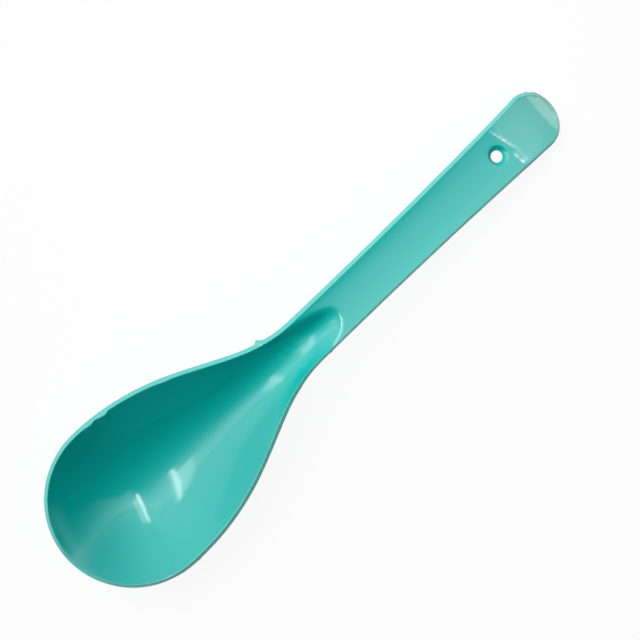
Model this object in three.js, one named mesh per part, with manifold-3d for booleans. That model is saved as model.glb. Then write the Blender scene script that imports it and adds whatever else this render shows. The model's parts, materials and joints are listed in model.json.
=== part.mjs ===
// A plastic serving spoon, moulded in one piece.
// Millimetres, +Z up, +X from the bowl's tip to the handle's end.
// It lies as on a table: the flat under the bowl and the tip of the handle's tab touch z = 0.
import * as THREE from 'three';
import { mergeVertices } from 'three/addons/utils/BufferGeometryUtils.js';
import Module from 'manifold-3d';

// Lengths along the spoon
const overallLength = 240;
const noseLength = 32; // bowl's tip to its widest point
const shoulderLength = 84; // widest point to where the sides have become the handle
const bowlSweep = 43.5; // how far the bowl's full width carries into the shoulder
const neckSweep = 28.5; // how far the handle's width carries back into the shoulder
const channelRun = 14; // how far the neck's channel runs up the handle
const channelFade = 16; // stretch over which the channel gets shallow and ends
const channelRound = 10; // how much earlier the channel ends at its sides than in its middle
const tabLength = 23.2; // crease to the handle's end
const cornerLength = 10.5; // rounded corners of the handle's end, along the handle
const holeFromCrease = 5.6;

// Widths
const bowlWidth = 64;
const neckWidth = 18.5;
const waistWidth = 17.7; // width that the handle's sides draw in towards
const endWidth = 22.1;
const rimLand = 1.5; // flat top of the rim, with its rounded outer edge

// Depths, heights and walls
const bowlDepth = 18; // below the rim at the bowl's widest point
const noseRise = 1.5; // rim at the bowl's tip above the rim at its widest point
const neckRise = 6.5; // neck above the rim at the bowl's widest point
const footFlat = 0.4; // how deep the bowl's underside is cut flat
const sideAngle = 42; // slope of the bowl's side at the rim, degrees
const floorWall = 2.4;
const handleThickness = 2.9;
const handleDish = 0.5; // hollow of the handle's upper face
const edgeHeight = 2.4; // outer edge of the rim and of the handle
const upperEdgeRadius = 0.8;
const lowerEdgeRadius = 0.6;

// The tab at the handle's end, which turns down past a crease
const creaseAngle = 4.5; // between handle and tab at the crease, degrees
const tipAngle = 45; // slope of the tab at its tip, degrees

// Hang hole
const holeDiameter = 4.3;
const mouthRadius = 1.7; // rounding of the hole's upper mouth

// Facets
const noseSteps = 15;
const shoulderSteps = 24;
const channelSteps = 8;
const handleSteps = 8;
const tabSteps = 6;
const cornerSteps = 7;
const faceSteps = 10;
const edgeSteps = 3;
const holeSteps = 36;
const mouthSteps = 5;

const plastic = new THREE.MeshStandardMaterial({ color: 0x4cc3ba, roughness: 0.25, metalness: 0 });

const radians = THREE.MathUtils.degToRad;
const bowlHalf = bowlWidth / 2;
const neckHalf = neckWidth / 2;
const neckStation = noseLength + shoulderLength;
const channelEnd = neckStation + channelRun;
const creaseStation = overallLength - tabLength;
const cornerStation = overallLength - cornerLength;
const holeStation = creaseStation - holeFromCrease;

// The flat under the bowl lies on the table, and the rim and the neck stand above it.
const rimHeight = bowlDepth + floorWall - footFlat;
const noseHeight = rimHeight + noseRise;
const neckHeight = rimHeight + neckRise;

// The handle falls from the neck so far that the rounded lower edge of its tab's tip meets the table.
const creaseSlope = Math.tan(radians(creaseAngle));
const tipSlope = Math.tan(radians(tipAngle));
const tipClearance = lowerEdgeRadius * (1 + tipSlope - Math.hypot(1, tipSlope));
const straightFall = neckHeight - edgeHeight + tipClearance - tabLength * (3 * creaseSlope + tipSlope) / 4;
const handleSlope = straightFall / (creaseStation - neckStation + 3 * tabLength / 4);

// The tab leaves the crease a little steeper than the handle, and its slope grows with the cube of the way
// to the tip, so that most of the turn is near the tip.
const tabSlope = handleSlope + creaseSlope;
const tabCurl = (tipSlope - tabSlope) / (4 * tabLength ** 3);

// Height of the upper edge at a station along the spoon: the rim, then the handle and its tab.
function edgeLine(x) {
  if (x <= noseLength) {
    return rimHeight + (noseHeight - rimHeight) * (1 - x / noseLength) ** 2;
  }
  if (x <= neckStation) {
    const t = (x - noseLength) / shoulderLength;
    const climb = t * t * (3 - 2 * t);
    const turn = t * t * (t - 1) * shoulderLength;
    return rimHeight + neckRise * climb - handleSlope * turn;
  }
  const straight = Math.min(x, creaseStation) - neckStation;
  const tab = Math.max(x - creaseStation, 0);
  return neckHeight - handleSlope * straight - tabSlope * tab - tabCurl * tab ** 4;
}

// Hollow of a section from 1 on the axis to 0 at the edge. It is a hyperbola, round at the floor and almost
// straight up the sides, and in the bowl it is sideAngle steep at the rim.
const sideRatio = Math.tan(radians(sideAngle)) * (bowlHalf - rimLand) / bowlDepth;
const sideReach = 1 / (sideRatio - 1);
function hollow(across) {
  const reach = Math.sqrt(1 + (sideReach ** 2 - 1) * across ** 2);
  return (sideReach - reach) / (sideReach - 1);
}

// The bowl gets shallower as it narrows, down to the neck's channel.
function channelDepth(point) {
  return bowlDepth * (point.half - rimLand) / (bowlHalf - rimLand);
}

// The channel rises along a parabola to a round end in the handle's dished face.
function faceDepth(point, across) {
  const past = point.foot + channelRound * across ** 2 - (channelEnd - channelFade);
  const rise = THREE.MathUtils.clamp(past / channelFade, 0, 1) ** 2;
  return THREE.MathUtils.lerp(channelDepth(point), handleDish, rise);
}

// The underside follows the channel and blends into the handle past the channel's end.
function bellyDepth(point) {
  const blend = THREE.MathUtils.smoothstep(point.foot, channelEnd - channelFade, channelEnd + channelFade);
  return THREE.MathUtils.lerp(channelDepth(point) + floorWall, handleThickness, blend);
}

// One side of the outline from the bowl's tip to the handle's end.
// foot is the place on the axis that a point's section starts from, half the half width there.
function sideOutline() {
  const side = [];
  const add = (x, y, foot, half) => side.push({ x, y, foot, half });
  for (let i = 0; i < noseSteps; i += 1) {
    const turn = (i / noseSteps) * Math.PI / 2;
    add(noseLength * (1 - Math.cos(turn)), bowlHalf * Math.sin(turn), noseLength, bowlHalf);
  }
  const shoulder = new THREE.CubicBezierCurve(
    new THREE.Vector2(noseLength, bowlHalf),
    new THREE.Vector2(noseLength + bowlSweep, bowlHalf),
    new THREE.Vector2(neckStation - neckSweep, neckHalf),
    new THREE.Vector2(neckStation, neckHalf),
  );
  for (const p of shoulder.getPoints(shoulderSteps).slice(0, -1)) {
    add(p.x, p.y, p.x, p.y);
  }
  const handle = new THREE.QuadraticBezierCurve(
    new THREE.Vector2(neckStation, neckHalf),
    new THREE.Vector2((neckStation + cornerStation) / 2, waistWidth / 2),
    new THREE.Vector2(cornerStation, endWidth / 2),
  );
  const stretches = [
    [neckStation, channelEnd, channelSteps],
    [channelEnd, creaseStation, handleSteps],
    [creaseStation, cornerStation, tabSteps],
  ];
  for (const [from, to, steps] of stretches) {
    for (let i = 0; i < steps; i += 1) {
      const x = THREE.MathUtils.lerp(from, to, i / steps);
      const y = handle.getPoint((x - neckStation) / (cornerStation - neckStation)).y;
      add(x, y, x, y);
    }
  }
  for (let i = 0; i <= cornerSteps; i += 1) {
    const turn = (i / cornerSteps) * Math.PI / 2;
    const x = cornerStation + cornerLength * Math.sin(turn);
    add(x, endWidth / 2 * Math.cos(turn), cornerStation, endWidth / 2);
  }
  return side;
}

// The whole outline, anticlockwise from above, with the outward normal at each point.
function closedOutline() {
  const left = sideOutline();
  const right = left.slice(1, -1).map((p) => ({ ...p, y: -p.y }));
  const outline = [left[0], ...right, left.at(-1), ...left.slice(1, -1).reverse()];
  outline.forEach((p, i) => {
    const before = outline.at(i - 1);
    const after = outline[(i + 1) % outline.length];
    p.normal = new THREE.Vector2(after.y - before.y, before.x - after.x).normalize();
  });
  return outline;
}

// A point of a ring: on the way from the section's foot to the outline drawn in by inset.
function ringPoint(point, across, inset) {
  const edgeX = point.x - inset * point.normal.x;
  const edgeY = point.y - inset * point.normal.y;
  return new THREE.Vector2(THREE.MathUtils.lerp(point.foot, edgeX, across), edgeY * across);
}

function upperFacePoint(point, across) {
  const plan = ringPoint(point, across, rimLand);
  const z = edgeLine(plan.x) - faceDepth(point, across) * hollow(across);
  return new THREE.Vector3(plan.x, plan.y, z);
}

function undersidePoint(point, across) {
  const plan = ringPoint(point, across, lowerEdgeRadius);
  const z = edgeLine(plan.x) - edgeHeight - (bellyDepth(point) - edgeHeight) * hollow(across);
  return new THREE.Vector3(plan.x, plan.y, z);
}

function edgePoint(point, inset, drop) {
  const plan = ringPoint(point, 1, inset);
  return new THREE.Vector3(plan.x, plan.y, edgeLine(plan.x) - drop);
}

// Rings of points from the axis out over the upper face, round the edge and back under to the axis.
function shellRings(outline) {
  const rings = [];
  const faceStations = Array.from({ length: faceSteps + 1 }, (_, i) => Math.sin((i / faceSteps) * Math.PI / 2));
  for (const across of faceStations) {
    rings.push(outline.map((p) => upperFacePoint(p, across)));
  }
  for (let i = 0; i <= edgeSteps; i += 1) {
    const turn = (i / edgeSteps) * Math.PI / 2;
    const inset = upperEdgeRadius * (1 - Math.sin(turn));
    const drop = upperEdgeRadius * (1 - Math.cos(turn));
    rings.push(outline.map((p) => edgePoint(p, inset, drop)));
  }
  for (let i = 0; i < edgeSteps; i += 1) {
    const turn = (i / edgeSteps) * Math.PI / 2;
    const inset = lowerEdgeRadius * (1 - Math.cos(turn));
    const drop = edgeHeight - lowerEdgeRadius * (1 - Math.sin(turn));
    rings.push(outline.map((p) => edgePoint(p, inset, drop)));
  }
  for (const across of faceStations.toReversed()) {
    rings.push(outline.map((p) => undersidePoint(p, across)));
  }
  return rings;
}

// The closed shell over the rings. Triangles that shrink to a line on the axis are left out.
function shellGeometry() {
  const rings = shellRings(closedOutline());
  const around = rings[0].length;
  const geometry = new THREE.BufferGeometry().setFromPoints(rings.flat());
  const index = [];
  for (let r = 0; r < rings.length - 1; r += 1) {
    for (let i = 0; i < around; i += 1) {
      const a = r * around + i;
      const b = r * around + (i + 1) % around;
      index.push(a, a + around, b, b, a + around, b + around);
    }
  }
  geometry.setIndex(index);
  const merged = mergeVertices(geometry, 1e-3);
  const whole = [];
  const corners = merged.index.array;
  for (let i = 0; i < corners.length; i += 3) {
    const [a, b, c] = corners.subarray(i, i + 3);
    if (a !== b && b !== c && c !== a) {
      whole.push(a, b, c);
    }
  }
  merged.setIndex(whole);
  return merged;
}

// The cutter for the hang hole, square to the handle's face: a bore whose mouth flares along an arc.
function holeCutter() {
  const bore = holeDiameter / 2;
  const reach = handleThickness * 2;
  const profile = [new THREE.Vector2(0, -reach), new THREE.Vector2(bore, -reach)];
  for (let i = 0; i <= mouthSteps; i += 1) {
    const turn = (i / mouthSteps) * Math.PI / 2;
    const flare = mouthRadius * (1 - Math.cos(turn));
    profile.push(new THREE.Vector2(bore + flare, mouthRadius * (Math.sin(turn) - 1)));
  }
  profile.push(new THREE.Vector2(bore + mouthRadius, reach), new THREE.Vector2(0, reach));
  const geometry = new THREE.LatheGeometry(profile, holeSteps);
  geometry.rotateX(Math.PI / 2);
  geometry.rotateY(Math.atan(handleSlope));
  geometry.translate(holeStation, 0, edgeLine(holeStation) - handleDish);
  return geometry;
}

// The cutter below the table's plane that leaves a flat under the bowl.
function footCutter() {
  const geometry = new THREE.BoxGeometry(bowlWidth, bowlWidth, bowlDepth);
  geometry.translate(noseLength, 0, -bowlDepth / 2);
  return geometry;
}

const wasm = await Module();
wasm.setup();

function solid(geometry) {
  geometry.deleteAttribute('normal');
  geometry.deleteAttribute('uv');
  const merged = mergeVertices(geometry, 1e-4);
  const vertProperties = new Float32Array(merged.attributes.position.array);
  const triVerts = new Uint32Array(merged.index.array);
  return new wasm.Manifold(new wasm.Mesh({ numProp: 3, vertProperties, triVerts }));
}

function geometryOf(manifold) {
  const mesh = manifold.getMesh();
  const geometry = new THREE.BufferGeometry();
  geometry.setAttribute('position', new THREE.BufferAttribute(mesh.vertProperties, 3));
  geometry.setIndex(new THREE.BufferAttribute(mesh.triVerts, 1));
  geometry.computeVertexNormals();
  return geometry;
}

const moulding = solid(shellGeometry()).subtract(solid(holeCutter())).subtract(solid(footCutter()));
const spoon = new THREE.Mesh(geometryOf(moulding), plastic);
spoon.name = 'spoon';
spoon.position.x = -overallLength / 2;

const servingSpoon = new THREE.Group();
servingSpoon.add(spoon);

export default servingSpoon;
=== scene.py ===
"""A moulded plastic serving spoon on white paper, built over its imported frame. Metres, +Z up."""
import json
import math
from collections import namedtuple

import bmesh
import bpy
from bpy.props import FloatProperty, FloatVectorProperty, PointerProperty
from bpy.types import Operator, Panel, PropertyGroup
from mathutils import Matrix, Vector, noise


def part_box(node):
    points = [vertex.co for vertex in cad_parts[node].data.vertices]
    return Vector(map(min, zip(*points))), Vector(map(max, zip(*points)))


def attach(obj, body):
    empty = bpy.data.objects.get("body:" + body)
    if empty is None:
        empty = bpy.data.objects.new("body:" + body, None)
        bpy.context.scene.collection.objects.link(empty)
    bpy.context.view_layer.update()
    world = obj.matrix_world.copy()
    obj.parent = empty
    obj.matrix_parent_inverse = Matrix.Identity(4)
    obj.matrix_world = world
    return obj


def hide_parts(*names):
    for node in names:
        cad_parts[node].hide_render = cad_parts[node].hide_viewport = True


bl_info = {
    "name": "Moulded Serving Spoon",
    "version": (1, 0, 0),
    "blender": (4, 5, 0),
    "location": "View3D > Sidebar > Spoon",
    "description": "Builds a one-piece moulded serving spoon over its frame, on white paper in soft light",
    "category": "Add Mesh",
}

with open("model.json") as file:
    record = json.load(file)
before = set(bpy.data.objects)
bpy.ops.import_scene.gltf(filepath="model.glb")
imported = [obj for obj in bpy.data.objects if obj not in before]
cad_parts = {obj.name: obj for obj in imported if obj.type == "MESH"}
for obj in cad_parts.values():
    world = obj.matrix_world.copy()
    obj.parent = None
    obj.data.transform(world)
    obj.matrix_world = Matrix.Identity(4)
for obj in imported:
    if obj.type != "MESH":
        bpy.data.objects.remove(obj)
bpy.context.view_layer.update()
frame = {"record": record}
spoon_low, spoon_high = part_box("spoon")
mounts = {mount["name"]: mount for mount in frame["record"]["mounts"]}
hang_hole = mounts["hang_hole"]

MM = 0.001
TIP = spoon_low.x  # the bowl's tip, from which stations along the spoon are measured
WELD = 0.002 * MM  # points that are closer together than this become one


def linear(hex_colour):
    """Turns an sRGB hex colour into Blender's linear red, green, blue and alpha."""
    channels = [int(hex_colour[i:i + 2], 16) / 255 for i in (1, 3, 5)]
    return [c / 12.92 if c <= 0.04045 else ((c + 0.055) / 1.055) ** 2.4 for c in channels] + [1.0]


def length(name, description, millimetres):
    """A size of the spoon, written in millimetres and kept in metres."""
    return FloatProperty(name=name, description=description, default=millimetres * MM, unit="LENGTH")


def metres(name, description, default):
    return FloatProperty(name=name, description=description, default=default, unit="LENGTH")


def level(name, description, default):
    return FloatProperty(name=name, description=description, default=default, min=0)


def angle(name, description, degrees):
    return FloatProperty(name=name, description=description, default=math.radians(degrees), subtype="ANGLE")


def colour(name, description, hex_colour):
    return FloatVectorProperty(
        name=name, description=description, default=linear(hex_colour),
        size=4, subtype="COLOR", min=0, max=1,
    )


class SpoonSizes(PropertyGroup):
    """Sizes of the moulding"""

    overall_length: metres("Overall length", "Bowl's tip to handle's end", spoon_high.x - spoon_low.x)
    bowl_width: metres("Bowl width", "Across the rim at its widest", spoon_high.y - spoon_low.y)
    nose_length: length("Nose length", "Bowl's tip to its widest point", 32)
    shoulder_length: length("Shoulder length", "Widest point to where the sides become the handle", 84)
    bowl_sweep: length("Bowl sweep", "How far the bowl's full width carries into the shoulder", 43.5)
    neck_sweep: length("Neck sweep", "How far the handle's width carries back into the shoulder", 28.5)
    channel_run: length("Channel run", "How far the neck's channel runs up the handle", 14)
    channel_fade: length("Channel fade", "Stretch over which the channel gets shallow and ends", 16)
    channel_round: length("Channel round", "How much earlier the channel ends at its sides", 6.8)
    tab_length: length("Tab length", "Crease to the handle's end", 23.2)
    corner_length: length("Corner length", "Rounded end of the handle, along it", 10.5)
    neck_width: length("Neck width", "Handle where it leaves the shoulder", 18.5)
    waist_width: length("Waist width", "Width that the handle's sides draw in towards", 17.7)
    end_width: length("End width", "Handle where its rounded end starts", 22.1)
    rim_land: length("Rim land", "Slanted side of the rim, seen from above", 1.5)
    bowl_depth: length("Bowl depth", "Below the rim at the bowl's widest point", 18)
    nose_rise: length("Nose rise", "Rim at the bowl's tip above the rim at its widest point", 1.5)
    neck_rise: length("Neck rise", "Neck above the rim at the bowl's widest point", 6.5)
    foot_flat: length("Foot flat", "How deep the bowl's underside is flattened", 0.4)
    side_angle: angle("Side angle", "Slope of the bowl's side at the rim", 42)
    floor_wall: length("Floor wall", "Thickness of the bowl's floor", 2.4)
    handle_thickness: length("Handle thickness", "Handle on its axis", 2.9)
    handle_dish: length("Handle dish", "Hollow of the handle's upper face", 0.5)
    edge_height: length("Edge height", "Outer edge of the rim and of the handle", 2.4)
    lower_edge_radius: length("Lower edge radius", "Rounding of the lower outer edge", 0.6)
    rim_slope: length("Rim slope", "How far the rim's slanted side drops", 1.35)
    crest: length("Crest", "How far the top of the rim stands up", 0.07)
    crease_angle: angle("Crease angle", "Between handle and tab at the crease", 4.5)
    tip_angle: angle("Tip angle", "Slope of the tab at its tip", 45)
    crease_round: length("Crease round", "Half the stretch over which the crease bends", 1.4)
    hole_from_crease: length("Hole from crease", "Hang hole's axis to the crease", 5.6)
    mouth_radius: length("Mouth radius", "Rounding of the hang hole's upper mouth", 1.7)
    hole_lower_edge: length("Hole lower edge", "Rounding of the hang hole's lower edge", 0.3)


class MouldTraces(PropertyGroup):
    """Small traces that the mould left on the spoon"""

    gate_station: length("Gate station", "Bowl's tip to the stub of the gate, on the rim's +Y side", 103)
    gate_width: length("Gate width", "Stub of the gate, along the rim", 3.4)
    gate_height: length("Gate height", "How far the stub stands out", 0.5)
    gate_burr: length("Gate burr", "Torn burr at the stub's end towards the bowl", 1.0)
    scallop_rise: length("Scallop rise", "Length over which a scallop of the inner rim grows", 4.5)
    scallop_drop: length("Scallop drop", "Length over which it steps back", 1.8)
    ridge_height: length("Ridge height", "Ridge that runs across the crease", 0.08)
    ridge_width: length("Ridge width", "Steep side of the ridge, towards the bowl", 0.3)
    ridge_tail: length("Ridge tail", "Gentle side of the ridge, towards the tip", 1.1)
    flash_reach: length("Flash reach", "Ragged flash round the end of the tab", 0.3)
    edge_wave: length("Edge wave", "Unevenness of the outer edge", 0.05)


class SpoonFinish(PropertyGroup):
    """Colours and gloss of the plastic, with the colours of its painted highlights and painted glow"""

    teal: colour("Teal", "Body colour of the plastic", "#00B2AB")
    teal_flow: colour("Teal flow", "Slightly paler colour along the flow of the melt", "#04B7B0")
    # Brighter teal of a painted glow on the rim's slanted side that faces away from the light. It stands in
    # for light coming through the thin plastic.
    lit: colour("Lit", "Colour of thin edges that light shines through on the shaded side", "#00E4D0")
    # Pale colour of the painted highlights: on the rim's side that faces the light, along a line inside the
    # rim, and on the crease's ridges.
    pale: colour("Pale", "Colour of thin edges and of the whitened crease", "#C4F2EC")
    gloss: level("Gloss", "Roughness of the polished surface", 0.09)
    dull: level("Dull", "Roughness where the mould's polish was worn", 0.14)
    neck_dull: level("Neck dull", "How much rougher the neck's channel is than the rest", 0.12)
    neck_shine: level("Neck shine", "Gloss of the neck's channel, where 0.5 is that of the rest", 0.38)
    worn_start: length("Worn start", "Place along X where the channel starts to get duller", -36)
    worn_full: length("Worn full", "Place along X where the channel is fully dull", -10)
    worn_until: length("Worn until", "Place along X up to which it stays dull", -4)
    worn_end: length("Worn end", "Place along X where the handle's gloss is back", 5)


class StageSettings(PropertyGroup):
    """Paper, camera and light"""

    paper: colour("Paper", "White of the paper sweep", "#FAFAFA")
    paper_glow: level("Paper glow", "Share of the paper that is seen as plain white", 0.92)
    floor_radius: metres("Floor radius", "Flat part of the paper sweep", 2.4)
    sweep_height: metres("Sweep height", "How high the paper curves up behind the table", 0.6)
    ceiling: metres("Ceiling", "Height of the tubes above the table", 2.0)
    walls_light: level("Walls light", "Radiance of the brightest part of the studio's walls", 0.9)
    walls_gloss: level("Walls gloss", "How much brighter the gloss shows the walls", 2.75)
    handle_reach: angle("Handle reach", "How much further the bright ceiling reaches over the handle", 32)
    key_light: level("Key light", "Radiance of the lamp on the far side", 4.2)
    tube_light: level("Tube light", "Radiance of each tube", 8)
    glow_light: level("Glow light", "Radiance of the soft glow beside each tube", 2.5)
    fill_light: level("Fill light", "Radiance of the small lamp near the handle", 2.2)
    card_colour: colour("Card colour", "Colour of the warm cards by the handle's end", "#FFF6E2")
    card_light: level("Card light", "Radiance of the card over the tab", 1.43)
    strip_light: level("Strip light", "Radiance of the strip far past the handle's end", 1.32)
    tip_light: level("Tip light", "Radiance of the small card before the tab's tip", 2.42)
    view_distance: metres("View distance", "Camera to the spoon", 0.65)
    view_lean: angle("View lean", "How far the camera leans from straight above", 5.25)
    view_roll: angle("View roll", "How far the handle climbs to the right in the picture", 43.146)
    view_field: angle("View field", "Angle of the camera's field", 20.06)
    aim_height: length("Aim height", "Height above the paper that the camera looks at", 14)
    aim_right: length("Aim right", "How far the camera is shifted to the right", 2.29)
    aim_up: length("Aim up", "How far the camera is shifted up the picture", 3.35)


def eased(value):
    """Smooth step from 0 to 1."""
    value = min(max(value, 0), 1)
    return value * value * (3 - 2 * value)


# A place in plan: x and y, its share of the way from the axis to the outline, and the station and the half
# width of the section that it belongs to.
Spot = namedtuple("Spot", "x y across foot half")


class MouldingForm:
    """Widths and heights of the moulding, worked out from its sizes. x runs from the bowl's tip."""

    # The grid: its columns at both round ends, its rows on each side, and how finely it is subdivided.
    nose_columns = 9
    end_columns = 8
    side_rows = 12
    fineness = 2
    bend_reach = 26 * MM  # stretch over which the columns bow beside the channel's end
    halvings = 40  # steps in which a place on the shoulder's curve is found

    # The channel's end: its rounding as a share of the fade, and the +Y side, which ends softer and earlier.
    end_round = 0.09
    soft_width = 6 * MM
    soft_lead = 0.6

    # The neck's section is close to a parabola, and takes over from the bowl's before the neck.
    neck_power = 2.3
    neck_blend = 40 * MM

    # The rim's crest and slanted side, as shares of the land's width inwards and of the slope's drop.
    crest_place = 0.87
    rim_profile = ((0.72, 0.1), (0.55, 0.38), (0.3, 0.7), (0.08, 0.93), (0, 1.15))

    # Share of the slanted side that the handle's -Y edge lacks, and the run and the rows over which it goes.
    narrowing = 0.3
    narrowing_run = 20 * MM
    narrowing_rows = 1.2

    # The hang hole: the rows that it opens, and its mouth as shares of the mouth's radius outwards and down.
    hole_rows = math.sin(math.radians(40))
    mouth_profile = ((1, 0), (0.85, 0.06), (0.58, 0.3), (0.26, 0.64), (0, 1))

    # Painted light in the rim's colour: a painted sheen on its side that faces the light, a painted glow on
    # its shaded side, and a painted highlight along the line inside.
    sheen_on_lit_side = 0.2
    glow_on_shaded_side = -0.8
    painted_line_highlight = 0.22
    light_turn = 16 * MM  # width about the axis over which lit turns to shaded
    line_fade = 20 * MM  # stretch before the neck over which the line ends

    def __init__(self, sizes):
        self.sizes = sizes
        self.bowl_half = sizes.bowl_width / 2
        self.neck_half = sizes.neck_width / 2
        self.end_half = sizes.end_width / 2
        self.neck_station = sizes.nose_length + sizes.shoulder_length
        self.channel_end = self.neck_station + sizes.channel_run
        self.channel_start = self.channel_end - sizes.channel_fade
        self.crease_station = sizes.overall_length - sizes.tab_length
        self.corner_station = sizes.overall_length - sizes.corner_length
        self.hole_station = self.crease_station - sizes.hole_from_crease
        self.hole_clear = sizes.hole_from_crease - sizes.crease_round
        self.rim_height = sizes.bowl_depth + sizes.floor_wall - sizes.foot_flat
        self.neck_height = self.rim_height + sizes.neck_rise
        crease_slope = math.tan(sizes.crease_angle)
        tip_slope = math.tan(sizes.tip_angle)
        tip_clearance = sizes.lower_edge_radius * (1 + tip_slope - math.hypot(1, tip_slope))
        tab_fall = sizes.tab_length * (3 * crease_slope + tip_slope) / 4
        straight_fall = self.neck_height - sizes.edge_height + tip_clearance - tab_fall
        straight_run = self.crease_station - self.neck_station + 3 * sizes.tab_length / 4
        self.handle_slope = straight_fall / straight_run
        self.tab_slope = self.handle_slope + crease_slope
        self.tab_curl = (tip_slope - self.tab_slope) / (4 * sizes.tab_length ** 3)
        side_ratio = math.tan(sizes.side_angle) * (self.bowl_half - sizes.rim_land) / sizes.bowl_depth
        self.side_reach = 1 / (side_ratio - 1)
        self.columns = self.make_columns()

    def make_columns(self):
        """Columns of the grid along the spoon: the nose, the stretches between stations, and the end."""
        sizes = self.sizes
        quarter = math.pi / 2
        columns = [("nose", -math.cos(quarter * i / self.nose_columns)) for i in range(self.nose_columns)]
        # Where a stretch starts, and how many columns it has. They stand closest where the form turns most.
        stops = [
            (sizes.nose_length, 1),
            (sizes.nose_length + 3 * MM, 7),
            (sizes.nose_length + 17 * MM, 9),
            (self.channel_start - 2.5 * MM, 7),
            (self.channel_start + 4.5 * MM, 6),
            (self.channel_end, 3),
            (self.channel_end + 6 * MM, 8),
            (self.hole_station - self.hole_clear, 8),
            (self.hole_station + self.hole_clear, 6),
            (self.crease_station + sizes.crease_round, 6),
            (self.corner_station, 1),
        ]
        for (start, count), (end, _) in zip(stops, stops[1:]):
            columns += [("side", start + (end - start) * i / count) for i in range(count)]
        columns += [("end", math.sin(quarter * i / self.end_columns)) for i in range(self.end_columns + 1)]
        return columns

    def edge_line(self, x):
        """Height of the upper edge: the rim, then the handle and its tab."""
        sizes = self.sizes
        if x <= sizes.nose_length:
            return self.rim_height + sizes.nose_rise * (1 - x / sizes.nose_length) ** 2
        if x <= self.neck_station:
            t = (x - sizes.nose_length) / sizes.shoulder_length
            turn = self.handle_slope * t * t * (t - 1) * sizes.shoulder_length
            return self.rim_height + sizes.neck_rise * eased(t) - turn
        straight = min(x, self.crease_station) - self.neck_station
        tab = max(x - self.crease_station, 0)
        fall = self.handle_slope * straight + self.tab_slope * tab + self.tab_curl * tab ** 4
        return self.neck_height - fall

    def side(self, x):
        """Half width and slope of the outline between the nose and the rounded end."""
        return self.handle_side(x) if x >= self.neck_station else self.shoulder_side(x)

    def handle_side(self, x):
        """The handle's sides follow a curve that draws in towards the waist's width."""
        run = self.corner_station - self.neck_station
        t = (x - self.neck_station) / run
        waist = self.sizes.waist_width / 2
        half = (1 - t) ** 2 * self.neck_half + 2 * t * (1 - t) * waist + t * t * self.end_half
        slope = 2 * ((1 - t) * (waist - self.neck_half) + t * (self.end_half - waist)) / run
        return half, slope

    def shoulder_side(self, x):
        """The shoulders follow a curve that leaves the bowl and meets the handle without a corner."""
        sizes = self.sizes
        knots = (0, sizes.bowl_sweep, sizes.shoulder_length - sizes.neck_sweep, sizes.shoulder_length)
        low, high = 0.0, 1.0
        for _ in range(self.halvings):
            t = (low + high) / 2
            along = 3 * t * (1 - t) ** 2 * knots[1] + 3 * t * t * (1 - t) * knots[2] + t ** 3 * knots[3]
            if along < x - sizes.nose_length:
                low = t
            else:
                high = t
        drop = self.bowl_half - self.neck_half
        along_rate = 3 * (1 - t) ** 2 * knots[1] + 6 * t * (1 - t) * (knots[2] - knots[1])
        along_rate += 3 * t * t * (knots[3] - knots[2])
        return self.bowl_half - drop * eased(t), -6 * drop * t * (1 - t) / along_rate

    def column_bend(self, station):
        """How far a column bows towards the bowl at the sides, to run along the channel's round end."""
        away = max(self.channel_start - station, station - self.channel_end, 0)
        return self.sizes.channel_round * eased(1 - away / self.bend_reach)

    def side_share(self, kind, at, row):
        """Width of the rim's side as a share of the full one: it is narrower along the handle's -Y edge."""
        past_neck = eased((at - self.neck_station) / self.narrowing_run + 0.5)
        on_handle = {"nose": 0, "side": past_neck, "end": 1}[kind]
        return 1 - self.narrowing * on_handle * eased(0.5 - row / self.narrowing_rows)

    def spot(self, column, row, inset):
        """Place in plan of a grid point on a face that is drawn in from the outline by inset."""
        sizes = self.sizes
        kind, at = column
        inset *= self.side_share(kind, at, row)
        if kind == "side":
            x = at - self.column_bend(at) * row * row
            half, slope = self.side(x)
            return Spot(x, row * (half - inset * math.hypot(1, slope)), abs(row), x, half)
        along = at * math.sqrt(1 - row * row / 2)
        aside = row * math.sqrt(1 - at * at / 2)
        if kind == "nose":
            foot, reach, half = sizes.nose_length, sizes.nose_length, self.bowl_half
        else:
            foot, reach, half = self.corner_station, sizes.corner_length, self.end_half
        place = foot + along * (reach - inset)
        return Spot(place, aside * (half - inset), min(math.hypot(along, aside), 1), foot, half)

    def hollow(self, spot):
        """Hollow of a section, from 1 on the axis to 0 at the edge.

        The bowl's sides are almost straight above its round floor, and the neck and the handle are round.
        """
        reach = math.sqrt(1 + (self.side_reach ** 2 - 1) * spot.across ** 2)
        straight = (self.side_reach - reach) / (self.side_reach - 1)
        neck = eased((spot.foot - self.neck_station) / self.neck_blend + 1)
        return straight + (1 - spot.across ** self.neck_power - straight) * neck

    def channel_depth(self, spot):
        """The bowl gets shallower as it narrows, down to the neck's channel."""
        land = self.sizes.rim_land
        return self.sizes.bowl_depth * (spot.half - land) / (self.bowl_half - land)

    def channel_rise(self, spot):
        """Share of the climb from the channel's floor to the handle's face, with a round lip at its end."""
        sizes = self.sizes
        softer = eased(spot.y / self.soft_width)
        earlier = sizes.channel_round * (1 + self.soft_lead * softer) * spot.across ** 2
        past = max((spot.foot + earlier - self.channel_start) / sizes.channel_fade, 0)
        over = min(max(past - 1 + self.end_round, 0), 2 * self.end_round)
        past = min(past, 1 + self.end_round) - over ** 2 / (4 * self.end_round)
        return past ** 2 * (1 + 2 * (1 - past) * softer)

    def upper_height(self, spot):
        """The bowl's inside, the channel rising to its round end, and the handle's dished face."""
        rise = self.channel_rise(spot)
        depth = self.channel_depth(spot) * (1 - rise) + self.sizes.handle_dish * rise
        return self.edge_line(spot.x) - depth * self.hollow(spot)

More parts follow.
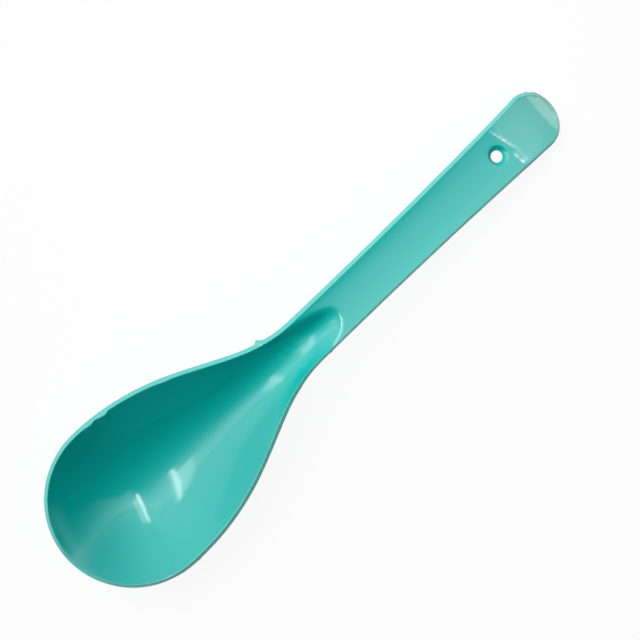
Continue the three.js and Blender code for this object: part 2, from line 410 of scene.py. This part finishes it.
    def lower_height(self, spot):
        """The underside follows the channel and blends into the handle past the channel's end."""
        sizes = self.sizes
        blend = eased((spot.foot - self.channel_start) / (2 * sizes.channel_fade))
        belly = (self.channel_depth(spot) + sizes.floor_wall) * (1 - blend) + sizes.handle_thickness * blend
        swell = (belly - sizes.edge_height) * self.hollow(spot)
        return max(self.edge_line(spot.x) - sizes.edge_height - swell, 0)

    def shade(self, y):
        """0 on the side that faces the light, 1 on the shaded side."""
        return eased(0.5 - y / self.light_turn)

    def painted_side_light(self, y):
        """Painted light on the rim's slanted side: a pale painted sheen where it faces the light, and a
        brighter painted glow on the shaded side.
        """
        return self.sheen_on_lit_side * self.shade(-y) + self.glow_on_shaded_side * self.shade(y)

    def painted_rim_line(self, x, y):
        """A painted highlight runs as a pale line along the inside of the bowl's rim on its -Y side."""
        return self.painted_line_highlight * self.shade(y) * eased((self.neck_station - x) / self.line_fade)

    def rim_section(self):
        """Rings from the rim's crest down its slanted side to the underside, as inset and drop."""
        sizes = self.sizes
        lower = sizes.lower_edge_radius
        rings = [(self.crest_place * sizes.rim_land, -sizes.crest)]
        rings += [(inward * sizes.rim_land, down * sizes.rim_slope) for inward, down in self.rim_profile]
        return rings + [(0, sizes.edge_height - lower), (lower, sizes.edge_height)]


def grid_marks(bm):
    """The attributes that hold a point's column and row in the grid."""
    return bm.verts.layers.int["column"], bm.verts.layers.float["row"]


def border_of(bm):
    return [edge for edge in bm.edges if edge.is_boundary]


def extruded(bm, edges):
    """Extrudes a ring of edges, and gives the new points and the new border."""
    made = bmesh.ops.extrude_edge_only(bm, edges=edges)["geom"]
    points = [part for part in made if isinstance(part, bmesh.types.BMVert)]
    border = [part for part in made if isinstance(part, bmesh.types.BMEdge) and part.is_boundary]
    return points, border


def in_scene(name, data):
    """Puts a mesh, a lamp or a camera into the scene as an object of that name."""
    made = bpy.data.objects.new(name, data)
    bpy.context.scene.collection.objects.link(made)
    return made


def add_face(bm, form, inset, height):
    """Adds the upper face or the underside: a grid whose columns run along the spoon and rows across it."""
    last = len(form.columns) - 1
    column_mark, row_mark = grid_marks(bm)
    grid = bmesh.ops.create_grid(bm, x_segments=last, y_segments=2 * form.side_rows, size=1)
    for vert in grid["verts"]:
        vert[column_mark] = round((vert.co.x + 1) / 2 * last)
        vert[row_mark] = math.sin(vert.co.y * math.pi / 2)
        spot = form.spot(form.columns[vert[column_mark]], vert[row_mark], inset)
        vert.co = (TIP + spot.x, spot.y, height(spot))


def roll_rim(bm, form):
    """Rolls the rim from the upper face's border over the outer edge, ring by ring."""
    column_mark, row_mark = grid_marks(bm)
    painted_light_mark = bm.verts.layers.float["pale"]
    edges = border_of(bm)
    # The upper face's border gets the painted highlight line inside the rim.
    for vert in {vert for edge in edges for vert in edge.verts}:
        vert[painted_light_mark] = form.painted_rim_line(vert.co.x - TIP, vert.co.y)
    for inset, drop in form.rim_section():
        points, edges = extruded(bm, edges)
        for vert in points:
            spot = form.spot(form.columns[vert[column_mark]], vert[row_mark], inset)
            vert.co = (TIP + spot.x, spot.y, form.edge_line(spot.x) - drop)
            # The crest gets the painted highlight line, and the slanted side gets the painted sheen and
            # glow.
            if drop < 0:
                vert[painted_light_mark] = form.painted_rim_line(spot.x, spot.y)
            else:
                vert[painted_light_mark] = form.painted_side_light(spot.y) if drop < form.sizes.edge_height else 0


def bore_hole(bm, form):
    """Opens the hang hole in both faces, rounds its mouth and joins the two openings along the bore."""
    sizes = form.sizes
    column_mark, row_mark = grid_marks(bm)
    stations = {i: at - form.hole_station for i, (kind, at) in enumerate(form.columns) if kind == "side"}
    patch_reach = form.hole_clear * 1.001  # the patch's border columns count as in it
    far = sizes.overall_length

    def in_patch(vert):
        in_columns = abs(stations.get(vert[column_mark], far)) < patch_reach
        return in_columns and abs(vert[row_mark]) < form.hole_rows

    patch = [face for face in bm.faces if all(in_patch(vert) for vert in face.verts)]
    bmesh.ops.delete(bm, geom=patch, context="FACES")
    border = border_of(bm)
    axis = Vector(hang_hole["axis"])
    along = Vector((axis.z, 0, -axis.x))
    face_at = form.edge_line(form.hole_station) - sizes.handle_dish
    centre = Vector((TIP + form.hole_station, 0, face_at))
    thickness = sizes.handle_thickness - sizes.handle_dish
    middle = face_at - thickness / 2
    # Rings from each face into the bore: radius and depth. Both runs end on the same ring.
    bore = hang_hole["dims"]["r_mm"] * MM
    mouth, lower = sizes.mouth_radius, sizes.hole_lower_edge
    lower_rings = [(bore + lower, thickness), (bore, thickness - lower)]
    upper_rings = [(bore + mouth * out, mouth * down) for out, down in form.mouth_profile]
    upper_rings.append(lower_rings[-1])
    for rings, above in ((upper_rings, True), (lower_rings, False)):
        edges = []
        for edge in border:
            mid = (edge.verts[0].co + edge.verts[1].co) / 2
            over = mid.z + form.handle_slope * (mid.x - centre.x) > middle
            if over == above:
                edges.append(edge)
        for radius, depth in rings:
            points, edges = extruded(bm, edges)
            for vert in points:
                away = stations[vert[column_mark]] / form.hole_clear
                turn = math.atan2(vert[row_mark] / form.hole_rows, away)
                aside = along * math.cos(turn) + Vector((0, math.sin(turn), 0))
                vert.co = centre + aside * radius - axis * depth


def moulding_cage(form):
    """The coarse closed mesh of the moulding: two faces, the rim that joins them, and the hang hole."""
    bm = bmesh.new()
    bm.verts.layers.int.new("column")
    bm.verts.layers.float.new("row")
    # This attribute holds painted light: above 0 a painted highlight, below 0 the painted glow of the rim's
    # shaded side.
    bm.verts.layers.float.new("pale")
    add_face(bm, form, form.sizes.rim_land, form.upper_height)
    roll_rim(bm, form)
    add_face(bm, form, form.sizes.lower_edge_radius, form.lower_height)
    bmesh.ops.remove_doubles(bm, verts=bm.verts, dist=WELD)
    bore_hole(bm, form)
    bmesh.ops.remove_doubles(bm, verts=bm.verts, dist=WELD)
    bmesh.ops.recalc_face_normals(bm, faces=bm.faces)
    loose = [edge for edge in bm.edges if not edge.is_manifold]
    if loose:
        raise RuntimeError(f"the moulding isn't closed: {len(loose)} open edges")
    return bm


def subdivided(name, bm, levels):
    """Turns the cage into an object with a finely subdivided smooth mesh."""
    cage = bpy.data.meshes.new(name)
    bm.to_mesh(cage)
    bm.free()
    spoon = in_scene(name, cage)
    subdivision = spoon.modifiers.new("Smooth moulding", "SUBSURF")
    subdivision.levels = levels
    subdivision.render_levels = levels
    graph = bpy.context.evaluated_depsgraph_get()
    fine = bpy.data.meshes.new_from_object(spoon.evaluated_get(graph))
    spoon.modifiers.remove(subdivision)
    spoon.data = fine
    bpy.data.meshes.remove(cage)
    fine.name = name
    fine.shade_smooth()
    return spoon


def ripple(x, y, grain):
    """Uneven value between about -1 and 1, which changes over lengths of the grain's size."""
    return noise.noise(Vector((x, y, 0)) / grain)


class TracesOfMould:
    """How far the mould's traces move a point of the fine surface. x runs from the bowl's tip."""

    # Scallops of the inner rim on its +Y side: station and depth.
    scallops = ((45.5 * MM, 0.75 * MM), (39.3 * MM, 0.45 * MM), (69.2 * MM, 0.25 * MM))
    scallop_edge = 0.8 * MM  # from the outline to where a scallop starts
    scallop_fade = 3 * MM  # from the rim down the bowl's side to where it ends

    # Nibs of flash on the outer edge on its -Y side: station, width and height.
    nibs = (
        (34.0 * MM, 1.4 * MM, 0.14 * MM), (87.7 * MM, 1.0 * MM, 0.16 * MM),
        (119.2 * MM, 1.1 * MM, 0.18 * MM), (164.0 * MM, 1.6 * MM, 0.1 * MM),
    )

    # The gate's stub: the rounding of its ends, and the burr's place from its middle and half width.
    stub_round = 0.7 * MM
    burr_place = -0.9 * MM
    burr_width = 0.38 * MM

    # The outer edge: how level its normals are at least, and the station past which they face off the axis.
    edge_level = 0.3
    axis_station = 60 * MM

    # Flash at the handle's end: how far before the corner it starts, and how far off the axis.
    flash_lead = 2.2 * MM
    flash_side = 3 * MM

    # The crease's ridges: where they cross the axis past the crease, and how much they slant towards -Y.
    ridge_place, ridge_slant = 0.25 * MM, 0.27
    second_place, second_slant = -1.38 * MM, 0.12
    ridge_limit = 1.2 * MM  # how far past the crease the first one goes
    ridge_wave = 0.12 * MM  # how far they swing to and fro
    ridge_faint = 0.45  # strength of the first one where the second one joins it
    second_start = -2.5 * MM  # place across the handle where the second one starts
    ridge_margin = 1.6 * MM  # from the handle's edge to the ridges' ends
    crease_reach = 5 * MM  # stretch on both sides of the crease that the ridges can reach
    # Painted highlight on the crease's ridges: a share from their lift, and more from the lift's cube on
    # their tops.
    ridge_pale, top_pale = 0.4, 0.8  # paleness from their lift, and from its cube, which whitens the tops

    def __init__(self, form, sizes):
        self.form = form
        self.sizes = sizes

    def crease_lift(self, x, y):
        """A wavy ridge slants across the crease, and a second one joins it on the -Y side."""
        past = x - self.form.crease_station - self.ridge_wave * ripple(x, 3 * y, 4 * MM)
        first = self.ridge(past - min(self.ridge_place - self.ridge_slant * y, self.ridge_limit))
        second = self.ridge(past - self.second_place + self.second_slant * y)
        lift = first * (self.ridge_faint + (1 - self.ridge_faint) * eased(y / (4 * MM) + 1))
        lift += second * eased((self.second_start - y) / (2 * MM))
        strength = 0.75 + 0.6 * ripple(0, y, 1.7 * MM)
        inside = eased((self.form.side(x)[0] - abs(y) - self.ridge_margin) / (0.8 * MM))
        return max(strength * lift * inside, 0)

    def ridge(self, away):
        width = self.sizes.ridge_width if away < 0 else self.sizes.ridge_tail
        return math.exp(-(away / width) ** 2)

    def edge_reach(self, x, y):
        """How far the outer edge stands out: gate stub, nibs, ragged flash at the end, and unevenness."""
        sizes = self.sizes
        reach = sizes.edge_wave * ripple(x, y, 7 * MM)
        if y > 0:
            from_gate = x - sizes.gate_station
            stub = eased((sizes.gate_width / 2 - abs(from_gate)) / self.stub_round)
            burr = math.exp(-((from_gate - self.burr_place) / self.burr_width) ** 2)
            reach += sizes.gate_height * stub * (1 + 0.5 * ripple(x, y, 0.6 * MM)) + sizes.gate_burr * burr
        else:
            for station, width, height in self.nibs:
                reach += height * math.exp(-((x - station) / (width / 2)) ** 2)
        flash = eased((x - self.form.corner_station + self.flash_lead) / (0.8 * MM))
        flash *= eased((y - self.flash_side) / (3 * MM))
        return reach + sizes.flash_reach * flash * (0.6 + 0.9 * ripple(x, y, 1.5 * MM))

    def edge_move(self, x, y, z, normal):
        """Points of the outer edge, which face away from the middle, move outwards by their reach."""
        form, sizes = self.form, self.form.sizes
        level_part = math.hypot(normal.x, normal.y)
        below = form.edge_line(x) - z
        if level_part <= self.edge_level or not -0.1 * MM < below < sizes.edge_height:
            return Vector()
        outside = Vector((normal.x, normal.y, 0)) / level_part
        half = form.side(max(x, sizes.nose_length))[0]
        at_edge = abs(y) > half - sizes.rim_land or x < sizes.nose_length or x > form.corner_station
        from_middle = Vector((x - sizes.nose_length if x < self.axis_station else 0, y, 0))
        if not at_edge or outside.dot(from_middle) <= 0:
            return Vector()
        return outside * self.edge_reach(x, y) * eased(level_part * 1.4 - 0.2)

    def scallop_depth(self, x):
        depth = 0
        for station, deepest in self.scallops:
            rise = eased(1 + (x - station) / self.sizes.scallop_rise)
            drop = eased(1 - (x - station) / self.sizes.scallop_drop)
            depth += deepest * rise * drop
        return depth

    def scallop_move(self, x, y, normal):
        """The scallops push the inner rim of the bowl's +Y side towards the axis."""
        form, land = self.form, self.form.sizes.rim_land
        if y <= 0 or not form.sizes.nose_length < x < form.neck_station or normal.z <= -0.3:
            return Vector()
        half, slope = form.side(x)
        inset = (half - y) / math.hypot(1, slope)
        near = eased((inset - self.scallop_edge) / (land - self.scallop_edge))
        near *= eased((land + self.scallop_fade - inset) / self.scallop_fade)
        return Vector((slope, -1, 0)).normalized() * self.scallop_depth(x) * near

    def press(self, bm):
        """Moves the points of the fine mesh, and paints a pale highlight on the crease's ridges."""
        painted_light_mark = bm.verts.layers.float["pale"]
        bm.normal_update()
        moves = []
        for vert in bm.verts:
            x, y, z = vert.co.x - TIP, vert.co.y, vert.co.z
            move = self.edge_move(x, y, z, vert.normal) + self.scallop_move(x, y, vert.normal)
            if abs(x - self.form.crease_station) < self.crease_reach and vert.normal.z > 0.5:
                lift = self.crease_lift(x, y)
                move.z += self.sizes.ridge_height * lift
                # Painted highlight on the ridges, kept in the painted light attribute.
                pale = self.ridge_pale * lift + self.top_pale * lift ** 3
                vert[painted_light_mark] = max(vert[painted_light_mark], min(pale, 1))
            moves.append(move)
        for vert, move in zip(bm.verts, moves):
            vert.co += move


def add_node(tree, kind, inputs=None, **settings):
    """Adds a node with its settings, and fills its inputs with values or with other nodes' outputs."""
    made = tree.nodes.new(kind)
    for name, value in settings.items():
        setattr(made, name, value)
    for name, value in (inputs or {}).items():
        if isinstance(value, bpy.types.NodeSocket):
            tree.links.new(value, made.inputs[name])
        else:
            made.inputs[name].default_value = value
    return made


def moulded_polypropylene(finish):
    """Moulded polypropylene, dyed through and glossy from a polished mould.

    The eye sees an even, saturated body colour, slightly cloudy along the flow of the melt, under a clear
    waxy gloss whose reflections waver a little, because the wall sank unevenly as it cooled. Light is
    painted
    into the colour: a pale painted highlight on the rim's side that faces the light, along a line inside the
    rim and on the crease's ridges, and a brighter painted glow on the rim's shaded side. The neck's channel
    is duller, where the mould's polish was worn.
    """
    material = bpy.data.materials.new("moulded_polypropylene")
    material.use_nodes = True
    tree = material.node_tree
    tree.nodes.clear()
    place = add_node(tree, "ShaderNodeTexCoord").outputs["Object"]
    along = add_node(tree, "ShaderNodeMapping", {"Vector": place, "Scale": (0.35, 1, 1)}).outputs["Vector"]
    flow = add_node(tree, "ShaderNodeTexNoise", {"Vector": along, "Scale": 1 / (18 * MM), "Detail": 3})
    # Painted light from the mesh's attribute: its negative part mixes in the brighter painted glow of the
    # rim's shaded side, its positive part the pale painted highlight.
    thin = add_node(tree, "ShaderNodeAttribute", attribute_name="pale").outputs["Fac"]
    through = add_node(tree, "ShaderNodeMapRange", {"Value": thin, "From Min": 0, "From Max": -1})
    body = finish.teal
    for share, tint in (
        (flow.outputs["Fac"], finish.teal_flow), (through.outputs[0], finish.lit), (thin, finish.pale),
    ):
        body = add_node(tree, "ShaderNodeMix", {0: share, 6: body, 7: tint}, data_type="RGBA").outputs[2]
    polish = add_node(tree, "ShaderNodeTexNoise", {"Vector": place, "Scale": 1 / (6 * MM), "Detail": 4})
    roughness = add_node(
        tree, "ShaderNodeMapRange",
        {
            "Value": polish.outputs["Fac"], "From Min": 0.35, "From Max": 0.7,
            "To Min": finish.gloss, "To Max": finish.dull,
        },
    )
    parts = add_node(tree, "ShaderNodeSeparateXYZ", {"Vector": place})
    fading_in = add_node(
        tree, "ShaderNodeMapRange",
        {"Value": parts.outputs["X"], "From Min": finish.worn_start, "From Max": finish.worn_full},
    )
    fading_out = add_node(
        tree, "ShaderNodeMapRange",
        {
            "Value": parts.outputs["X"], "From Min": finish.worn_until, "From Max": finish.worn_end,
            "To Min": 1, "To Max": 0,
        },
    )
    worn = add_node(
        tree, "ShaderNodeMath", {0: fading_in.outputs[0], 1: fading_out.outputs[0]}, operation="MULTIPLY"
    ).outputs[0]
    roughness = add_node(
        tree, "ShaderNodeMath", {0: worn, 1: finish.neck_dull, 2: roughness.outputs[0]},
        operation="MULTIPLY_ADD",
    )
    shine = add_node(tree, "ShaderNodeMapRange", {"Value": worn, "To Min": 0.5, "To Max": finish.neck_shine})
    sink = add_node(tree, "ShaderNodeTexNoise", {"Vector": along, "Scale": 1 / (14 * MM), "Detail": 1})
    waver = add_node(
        tree, "ShaderNodeBump", {"Strength": 1, "Distance": 0.05 * MM, "Height": sink.outputs["Fac"]}
    )
    ripples = add_node(tree, "ShaderNodeTexNoise", {"Vector": place, "Scale": 1 / (2.2 * MM), "Detail": 2})
    skin = add_node(
        tree, "ShaderNodeBump",
        {
            "Strength": 1, "Distance": 0.004 * MM, "Height": ripples.outputs["Fac"],
            "Normal": waver.outputs["Normal"],
        },
    )
    shader = add_node(
        tree, "ShaderNodeBsdfPrincipled",
        {
            "Base Color": body, "Roughness": roughness.outputs[0], "IOR": 1.6,
            "Specular IOR Level": shine.outputs[0], "Normal": skin.outputs["Normal"],
        },
    )
    add_node(tree, "ShaderNodeOutputMaterial", {"Surface": shader.outputs["BSDF"]})
    return material


def white_paper(stage):
    """White paper: matt, seen as plain white, with only a faint shadow left on it."""
    material = bpy.data.materials.new("white_paper")
    material.use_nodes = True
    tree = material.node_tree
    tree.nodes.clear()
    matt = add_node(tree, "ShaderNodeBsdfDiffuse", {"Color": stage.paper})
    white = add_node(tree, "ShaderNodeEmission", {"Color": (1, 1, 1, 1), "Strength": 1})
    path = add_node(tree, "ShaderNodeLightPath")
    seen = path.outputs["Is Camera Ray"]
    for ray in ("Is Glossy Ray", "Is Transmission Ray"):
        seen = add_node(tree, "ShaderNodeMath", {0: seen, 1: path.outputs[ray]}, operation="ADD").outputs[0]
    share = add_node(
        tree, "ShaderNodeMath", {0: seen, 1: stage.paper_glow}, operation="MULTIPLY", use_clamp=True
    )
    mixed = add_node(
        tree, "ShaderNodeMixShader",
        {0: share.outputs[0], 1: matt.outputs["BSDF"], 2: white.outputs["Emission"]},
    )
    add_node(tree, "ShaderNodeOutputMaterial", {"Surface": mixed.outputs["Shader"]})
    return material


def paper_rise(place):
    """Share of the paper's rise: full behind the spoon and past its bowl, none on the viewer's side."""
    turn = math.degrees(math.atan2(place.y, place.x)) % 360
    return eased((turn - 45) / 25) * eased((230 - turn) / 25)


def paper_sweep(stage):
    """A round sheet of paper that is flat under the spoon and curves up far behind it."""
    bm = bmesh.new()
    bmesh.ops.create_circle(bm, cap_ends=True, segments=96, radius=stage.floor_radius)
    edges = border_of(bm)
    steps = 8
    for step in range(1, steps + 1):
        turn = math.pi / 2 * step / steps
        radius = stage.floor_radius + stage.sweep_height * math.sin(turn)
        points, edges = extruded(bm, edges)
        for vert in points:
            vert.co = vert.co.to_2d().normalized().to_3d() * radius
            vert.co.z = stage.sweep_height * (1 - math.cos(turn)) * paper_rise(vert.co)
    bmesh.ops.recalc_face_normals(bm, faces=bm.faces)
    mesh = bpy.data.meshes.new("paper_sweep")
    bm.to_mesh(mesh)
    bm.free()
    mesh.shade_smooth()
    mesh.materials.append(white_paper(stage))
    return in_scene("paper_sweep", mesh)


# Light of the walls: lean from straight up towards +Y in degrees, and the share of the full light there.
WALL_SHARES = (
    (-90, 0.005), (-50, 0.01), (-20, 0.05), (-5, 0.125), (10, 0.34), (20, 0.62),
    (35, 0.94), (45, 1), (48, 0.75), (62, 0.73), (72, 0.6), (90, 0.54),
)


def studio_walls(stage):
    """Walls and ceiling: dark on the -Y side, bright overhead and on the +Y side, dimmer past the handle.

    In the gloss they are brighter, and the bright ceiling reaches further to the -Y side over the handle.
    """
    world = bpy.data.worlds.new("studio_walls")
    world.use_nodes = True
    tree = world.node_tree
    tree.nodes.clear()
    direction = add_node(tree, "ShaderNodeTexCoord")
    parts = add_node(tree, "ShaderNodeSeparateXYZ", {"Vector": direction.outputs["Generated"]})
    path = add_node(tree, "ShaderNodeLightPath")
    in_gloss = path.outputs["Is Glossy Ray"]
    lean = add_node(
        tree, "ShaderNodeMath", {0: parts.outputs["Y"], 1: parts.outputs["Z"]}, operation="ARCTAN2"
    ).outputs[0]
    # What changes towards +X: from where to where, from which value to which, and how.
    changes = {
        "reach": (-0.08, 0.24, 0, stage.handle_reach, "SMOOTHSTEP"),
        "growth": (0.35, 0.8, 1, 1.5, "SMOOTHSTEP"),
        "widening": (0.3, 0.8, 0, math.radians(40), "SMOOTHSTEP"),
        "dimming": (0.4, 0.95, 1, 0.4, "LINEAR"),
    }
    towards_end = {}
    for name, (start, end, low, high, course) in changes.items():
        change = add_node(
            tree, "ShaderNodeMapRange",
            {"Value": parts.outputs["X"], "From Min": start, "From Max": end, "To Min": low, "To Max": high},
            interpolation_type=course,
        )
        towards_end[name] = change.outputs[0]
    widened = add_node(tree, "ShaderNodeMath", {0: lean, 1: towards_end["widening"]}, operation="ADD")
    near = add_node(
        tree, "ShaderNodeMapRange",
        {"Value": widened.outputs[0], "From Min": math.radians(-36), "From Max": math.radians(-12)},
        interpolation_type="SMOOTHSTEP",
    )
    bend = towards_end["reach"]
    for share in (in_gloss, near.outputs[0]):
        bend = add_node(tree, "ShaderNodeMath", {0: bend, 1: share}, operation="MULTIPLY").outputs[0]
    lean = add_node(
        tree, "ShaderNodeMath", {0: bend, 1: towards_end["growth"], 2: lean}, operation="MULTIPLY_ADD"
    ).outputs[0]
    turn = add_node(
        tree, "ShaderNodeMapRange", {"Value": lean, "From Min": -math.pi / 2, "From Max": math.pi / 2}
    )
    ramp = add_node(tree, "ShaderNodeValToRGB", {"Fac": turn.outputs[0]})
    marks = ramp.color_ramp.elements
    for index, (degrees, share) in enumerate(WALL_SHARES):
        place = (degrees + 90) / 180
        mark = marks[index] if index < 2 else marks.new(place)
        mark.position = place
        mark.color = (share, share, share, 1)
    full = add_node(
        tree, "ShaderNodeMapRange",
        {"Value": in_gloss, "To Min": stage.walls_light, "To Max": stage.walls_light * stage.walls_gloss},
    )
    strength = add_node(
        tree, "ShaderNodeMath", {0: full.outputs[0], 1: towards_end["dimming"]}, operation="MULTIPLY"
    )
    walls = add_node(
        tree, "ShaderNodeBackground", {"Color": ramp.outputs["Color"], "Strength": strength.outputs[0]}
    )
    add_node(tree, "ShaderNodeOutputWorld", {"Surface": walls.outputs["Background"]})
    return world


def flat_lamp(name, start, end, width, radiance, tint=(1, 1, 1), lights=True, shows=True):
    """A flat lamp from start to end that shines down, lights the spoon and shows in its gloss."""
    start, end = Vector(start), Vector(end)
    along = (end - start).normalized()
    aside = Vector((0, 0, 1)).cross(along).normalized()
    lamp = bpy.data.lights.new(name, "AREA")
    lamp.shape = "RECTANGLE"
    lamp.size = (end - start).length
    lamp.size_y = width
    lamp.energy = radiance * math.pi * lamp.size * lamp.size_y
    lamp.color = tint
    holder = in_scene(name, lamp)
    holder.visible_camera = False
    holder.visible_diffuse = lights
    holder.visible_glossy = shows
    turn = Matrix((along, aside, along.cross(aside))).transposed().to_4x4()
    holder.matrix_world = Matrix.Translation((start + end) / 2) @ turn


def hang_lamps(stage):
    """A key lamp on the far side, two tubes with a soft glow beside them, and small lamps by the handle."""
    top = stage.ceiling
    warm = stage.card_colour[:3]
    tube, glow = stage.tube_light, stage.glow_light
    flat_lamp("key", (-0.2, 0.95, 1.65), (-0.2, 1.9, 0.95), 0.8, stage.key_light, shows=False)
    flat_lamp("middle_tube", (0, 0, top), (0.42, 2.2, top), 0.19, tube)
    flat_lamp("outer_tube", (-1.15, 0.45, top), (-1.35, 2.9, top), 0.16, tube)
    flat_lamp("middle_glow", (0.25, 0.2, top), (0.69, 2.0, top), 0.36, glow, lights=False)
    flat_lamp("outer_glow", (-1.48, 0.9, top), (-1.71, 2.7, top), 0.46, glow, lights=False)
    flat_lamp("handle_fill", (0, 0.05, 0.15), (0.125, 0.05, 0.15), 0.08, stage.fill_light, shows=False)
    flat_lamp(
        "end_card", (0.135, -0.005, 0.075), (0.2, -0.005, 0.02), 0.05, stage.card_light,
        tint=warm, lights=False,
    )
    flat_lamp("end_strip", (1.65, -1.8, 0.45), (1.65, 1.5, 0.45), 0.12, stage.strip_light, lights=False)
    flat_lamp(
        "tip_card", (0.162, 0.006, 0.033), (0.172, 0.006, 0.001), 0.04, stage.tip_light,
        tint=warm, lights=False,
    )


def camera_above(stage):
    """A camera almost straight above, turned so that the handle climbs to the upper right."""
    lean, roll = stage.view_lean, stage.view_roll
    back = Vector((0, math.sin(lean), math.cos(lean)))
    along = Vector((1, 0, 0))
    aside = back.cross(along)
    right = along * math.cos(roll) - aside * math.sin(roll)
    up = along * math.sin(roll) + aside * math.cos(roll)
    aim = Vector((0, 0, stage.aim_height)) + right * stage.aim_right + up * stage.aim_up
    lens = bpy.data.cameras.new("view_from_above")
    lens.angle = stage.view_field
    lens.clip_start = 10 * MM
    camera = in_scene("view_from_above", lens)
    turn = Matrix((right, up, back)).transposed().to_4x4()
    camera.matrix_world = Matrix.Translation(aim + back * stage.view_distance) @ turn
    return camera


class OBJECT_OT_spoon_moulding(Operator):
    """Build the spoon as one smooth moulding in place of its frame solid"""

    bl_idname = "object.spoon_moulding"
    bl_label = "Spoon Moulding"
    bl_options = {"REGISTER", "UNDO"}

    def execute(self, context):
        scene = context.scene
        form = MouldingForm(scene.spoon_sizes)
        spoon = subdivided("spoon_moulding", moulding_cage(form), form.fineness)
        bm = bmesh.new()
        bm.from_mesh(spoon.data)
        TracesOfMould(form, scene.mould_traces).press(bm)
        bm.to_mesh(spoon.data)
        bm.free()
        spoon.data.materials.append(moulded_polypropylene(scene.spoon_finish))
        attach(spoon, "root")
        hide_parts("spoon")
        return {"FINISHED"}


class SCENE_OT_spoon_stage(Operator):
    """Lay the spoon on white paper, with soft light from its far side and a camera above"""

    bl_idname = "scene.spoon_stage"
    bl_label = "Spoon Stage"
    bl_options = {"REGISTER", "UNDO"}

    def execute(self, context):
        scene = context.scene
        settings = scene.spoon_stage_settings
        paper_sweep(settings)
        scene.world = studio_walls(settings)
        hang_lamps(settings)
        scene.camera = camera_above(settings)
        scene.view_settings.view_transform = "Standard"
        return {"FINISHED"}


# Names under which the scene holds the settings.
SETTINGS = {
    "spoon_sizes": SpoonSizes,
    "mould_traces": MouldTraces,
    "spoon_finish": SpoonFinish,
    "spoon_stage_settings": StageSettings,
}


class VIEW3D_PT_spoon(Panel):
    """Sizes, colours and steps of the spoon"""

    bl_idname = "VIEW3D_PT_spoon"
    bl_label = "Serving Spoon"
    bl_space_type = "VIEW_3D"
    bl_region_type = "UI"
    bl_category = "Spoon"

    def draw(self, context):
        for group in SETTINGS:
            settings = getattr(context.scene, group)
            column = self.layout.column(align=True)
            for name in settings.bl_rna.properties.keys():
                if name not in ("name", "rna_type"):
                    column.prop(settings, name)
        self.layout.operator(OBJECT_OT_spoon_moulding.bl_idname)
        self.layout.operator(SCENE_OT_spoon_stage.bl_idname)


CLASSES = (*SETTINGS.values(), OBJECT_OT_spoon_moulding, SCENE_OT_spoon_stage, VIEW3D_PT_spoon)


def register():
    for cls in CLASSES:
        bpy.utils.register_class(cls)
    for group, kind in SETTINGS.items():
        setattr(bpy.types.Scene, group, PointerProperty(type=kind))


def unregister():
    for group in SETTINGS:
        delattr(bpy.types.Scene, group)
    for cls in reversed(CLASSES):
        bpy.utils.unregister_class(cls)


def main():
    register()
    bpy.ops.object.spoon_moulding()
    bpy.ops.scene.spoon_stage()


if __name__ == "__main__":
    main()
